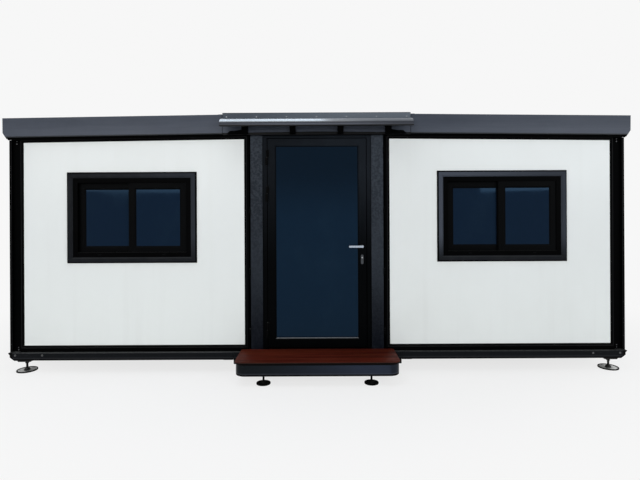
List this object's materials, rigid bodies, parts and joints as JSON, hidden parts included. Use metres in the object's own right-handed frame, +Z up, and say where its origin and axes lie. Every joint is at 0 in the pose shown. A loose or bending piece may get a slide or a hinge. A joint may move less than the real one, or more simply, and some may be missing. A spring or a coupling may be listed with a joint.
{
  "type": "expandable container house",
  "caption": "Prefabricated house with a narrow steel core and a folded-out wing on each side, end windows, glazed door with lever, rain hood, entry step and levelling feet.",
  "frame": {"origin": "middle of the whole outline, at the ground under the feet", "axes": "+X across the door end to the right as seen from outside, the door faces -Y, +Z up"},
  "size_m": [6.3848, 6.37, 2.639],
  "materials": {
    "black_steel": "satin black paint",
    "post_steel": "satin charcoal paint",
    "graphite_sheet": "coated graphite sheet",
    "hood_sheet": "smooth graphite coating",
    "white_panel": "smooth white coil coating",
    "ceiling_board": "white liner board",
    "floor_board": "vinyl faced board",
    "black_aluminium": "black powder coat",
    "window_glass": "dark tinted",
    "door_glass": "dark tinted",
    "hinge_metal": "satin black",
    "lever_metal": "brushed",
    "lock_plate": "satin nickel",
    "step_steel": "satin charcoal paint",
    "step_wood": "stained and sealed",
    "foot_steel": "black",
    "zinc_steel": "zinc plated",
    "fixing_steel": "zinc plated fixings",
    "black_rubber": "matt black seal",
    "grey_rubber": "matt grey seal"
  },
  "bodies": {
    "root": {"core_base_frame": "black_steel", "core_floor": "floor_board", "wing_bases": "black_steel", "wing_floors": "floor_board", "front_posts": "post_steel", "rear_posts": "post_steel", "core_roof_frame": "black_steel", "core_roof_panel": "graphite_sheet", "wing_roof_frames": "black_steel", "left_wing_roof": "graphite_sheet", "right_wing_roof": "graphite_sheet", "ceiling_boards": "ceiling_board", "left_wing_fascia": "graphite_sheet", "right_wing_fascia": "graphite_sheet", "core_fascias": "graphite_sheet", "hood_sheet": "hood_sheet", "hood_brackets": "black_steel", "front_left_wall": "white_panel", "front_right_wall": "white_panel", "rear_left_wall": "white_panel", "rear_right_wall": "white_panel", "front_wall_frames": "black_steel", "rear_wall_frames": "black_steel", "left_side_wall": "white_panel", "right_side_wall": "white_panel", "side_wall_frames": "black_steel", "corner_strips": "post_steel", "rear_core_wall": "white_panel", "end_window_frames": "black_aluminium", "end_window_sashes": "black_aluminium", "end_window_glass": "window_glass", "side_window_frames": "black_aluminium", "side_window_sashes": "black_aluminium", "side_window_glass": "window_glass", "door_frame": "black_aluminium", "door_hinge_pins": "hinge_metal", "wing_wall_hinges": "black_steel", "step_box": "step_steel", "step_plank": "step_wood", "step_feet": "foot_steel", "levelling_feet": "zinc_steel"},
    "door": {"door_leaf": "black_aluminium", "door_glass": "door_glass", "door_hinge_barrels": "hinge_metal", "door_lock_plates": "lock_plate"},
    "lever": {"door_lever": "lever_metal"}
  },
  "joints": [
    {"name": "door_swing", "type": "hinge", "parent": "root", "child": "door", "pos_m": [-0.5095, -2.754, 1.2], "axis": [0, 0, -1], "range_deg": [0, 110]},
    {"name": "lever_turn", "type": "hinge", "parent": "door", "child": "lever", "pos_m": [0.462, -2.743, 1.274], "axis": [0, -1, 0], "range_deg": [0, 45], "stiffness_Nm_per_rad": 1.5, "springref_deg": -20.05}
  ]
}
